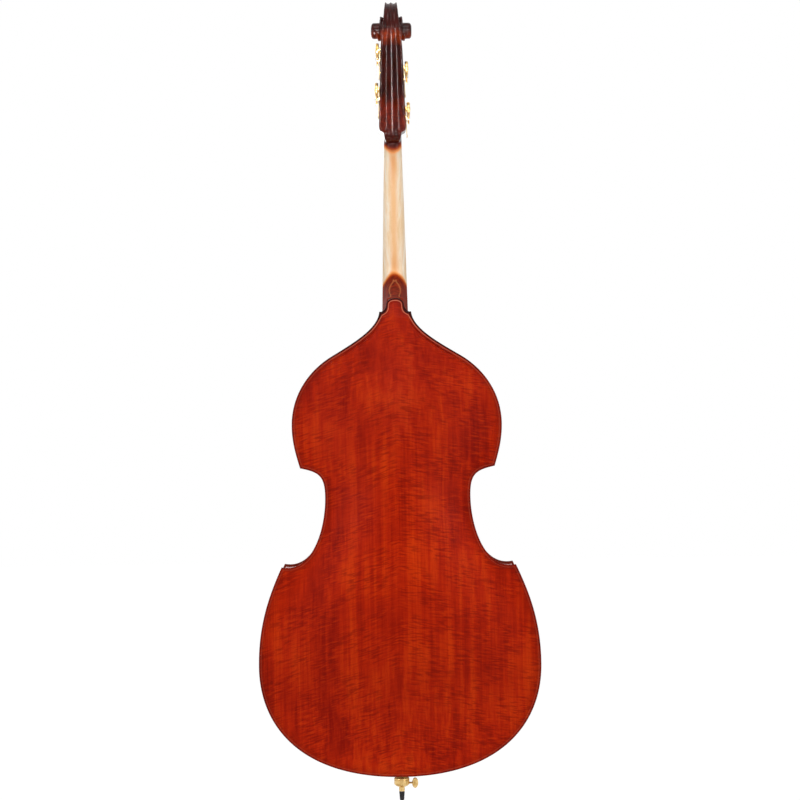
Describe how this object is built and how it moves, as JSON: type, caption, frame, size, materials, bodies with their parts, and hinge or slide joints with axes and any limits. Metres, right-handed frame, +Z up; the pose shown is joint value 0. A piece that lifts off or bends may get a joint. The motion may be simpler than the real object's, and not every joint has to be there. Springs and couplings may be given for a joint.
{
  "type": "double bass",
  "caption": "Upright double bass with arched back, ribs, scroll, worm-geared tuning machines, strings, bridge and a sliding endpin with a rubber tip.",
  "frame": {"origin": "middle of the foot of the rubber endpin tip, on the floor", "axes": "+Z up along the body, -Y out of the strings side, +Y out of the arched back, +X to the left of someone looking at the back (the treble side)"},
  "size_m": [0.67, 0.4312, 1.921],
  "materials": {
    "maple_back": "red-orange oil varnish, glossy, over flamed maple",
    "maple_ribs": "red-orange oil varnish, glossy, over flamed maple",
    "spruce_top": "red-orange oil varnish, glossy, over spruce",
    "maple_neck": "varnished red at the head and heel, bare and oiled between",
    "spruce_raw": "bare, planed",
    "maple_raw": "bare, planed",
    "ebony": "oiled, satin",
    "brass": "polished, lightly aged",
    "steel": "turned and polished",
    "rubber": "moulded, matt",
    "string_steel": "flat wound"
  },
  "bodies": {
    "instrument": {"back_plate": "maple_back", "top_plate": "spruce_top", "rib_lower_left": "maple_ribs", "rib_lower_right": "maple_ribs", "rib_middle_left": "maple_ribs", "rib_middle_right": "maple_ribs", "rib_upper_left": "maple_ribs", "rib_upper_right": "maple_ribs", "lining_lower_front_left": "spruce_raw", "lining_lower_front_right": "spruce_raw", "lining_lower_back_left": "spruce_raw", "lining_lower_back_right": "spruce_raw", "lining_middle_front_left": "spruce_raw", "lining_middle_front_right": "spruce_raw", "lining_middle_back_left": "spruce_raw", "lining_middle_back_right": "spruce_raw", "lining_upper_front_left": "spruce_raw", "lining_upper_front_right": "spruce_raw", "lining_upper_back_left": "spruce_raw", "lining_upper_back_right": "spruce_raw", "corner_block_lower_left": "spruce_raw", "corner_block_lower_right": "spruce_raw", "corner_block_upper_left": "spruce_raw", "corner_block_upper_right": "spruce_raw", "neck_block": "spruce_raw", "end_block": "spruce_raw", "bass_bar": "spruce_raw", "sound_post": "spruce_raw", "neck_scroll": "maple_neck", "fingerboard": "ebony", "nut": "ebony", "saddle": "ebony", "bridge": "maple_raw", "tailpiece": "ebony", "tail_gut": "steel", "string_e": "string_steel", "string_a": "string_steel", "string_d": "string_steel", "string_g": "string_steel", "machine_plate_e": "brass", "machine_plate_a": "brass", "machine_plate_d": "brass", "machine_plate_g": "brass", "endpin_collar": "brass"},
    "endpin": {"endpin_rod": "steel", "endpin_tip": "rubber"},
    "thumbscrew": {"endpin_thumbscrew": "brass"},
    "key_e": {"worm_key_e": "brass"},
    "roller_e": {"worm_wheel_e": "brass", "string_roller_e": "steel"},
    "key_g": {"worm_key_g": "brass"},
    "roller_g": {"worm_wheel_g": "brass", "string_roller_g": "steel"},
    "key_a": {"worm_key_a": "brass"},
    "roller_a": {"worm_wheel_a": "brass", "string_roller_a": "steel"},
    "key_d": {"worm_key_d": "brass"},
    "roller_d": {"worm_wheel_d": "brass", "string_roller_d": "steel"}
  },
  "joints": [
    {"name": "endpin_slide", "type": "slide", "parent": "instrument", "child": "endpin", "axis": [0, 0, -1], "range_m": [0, 0.25]},
    {"name": "thumbscrew_turn", "type": "hinge", "parent": "instrument", "child": "thumbscrew", "pos_m": [-0.032, 0, 0.0423], "axis": [-1, 0, 0], "range_deg": [0, 540]},
    {"name": "key_e_turn", "type": "hinge", "parent": "instrument", "child": "key_e", "pos_m": [-0.0386, -0.03369, 1.6669], "axis": [0, 0.9945, -0.1045], "continuous": true},
    {"name": "roller_e_turn", "type": "hinge", "parent": "instrument", "child": "roller_e", "pos_m": [-0.0386, -0.03568, 1.648], "axis": [1, 0, 0], "continuous": true},
    {"name": "key_g_turn", "type": "hinge", "parent": "instrument", "child": "key_g", "pos_m": [0.03699, -0.01254, 1.7119], "axis": [0, 0.9945, -0.1045], "continuous": true},
    {"name": "roller_g_turn", "type": "hinge", "parent": "instrument", "child": "roller_g", "pos_m": [0.03699, -0.01453, 1.693], "axis": [1, 0, 0], "continuous": true},
    {"name": "key_a_turn", "type": "hinge", "parent": "instrument", "child": "key_a", "pos_m": [-0.03526, 0.01002, 1.7599], "axis": [0, 0.9945, -0.1045], "continuous": true},
    {"name": "roller_a_turn", "type": "hinge", "parent": "instrument", "child": "roller_a", "pos_m": [-0.03526, 0.00803, 1.741], "axis": [1, 0, 0], "continuous": true},
    {"name": "key_d_turn", "type": "hinge", "parent": "instrument", "child": "key_d", "pos_m": [0.03379, 0.02929, 1.8009], "axis": [0, 0.9945, -0.1045], "continuous": true},
    {"name": "roller_d_turn", "type": "hinge", "parent": "instrument", "child": "roller_d", "pos_m": [0.03379, 0.0273, 1.782], "axis": [1, 0, 0], "continuous": true}
  ],
  "couplings": [
    {"joint": "roller_e_turn", "follows": "key_e_turn", "ratio": 0.05},
    {"joint": "roller_g_turn", "follows": "key_g_turn", "ratio": -0.05},
    {"joint": "roller_a_turn", "follows": "key_a_turn", "ratio": 0.05},
    {"joint": "roller_d_turn", "follows": "key_d_turn", "ratio": -0.05}
  ]
}
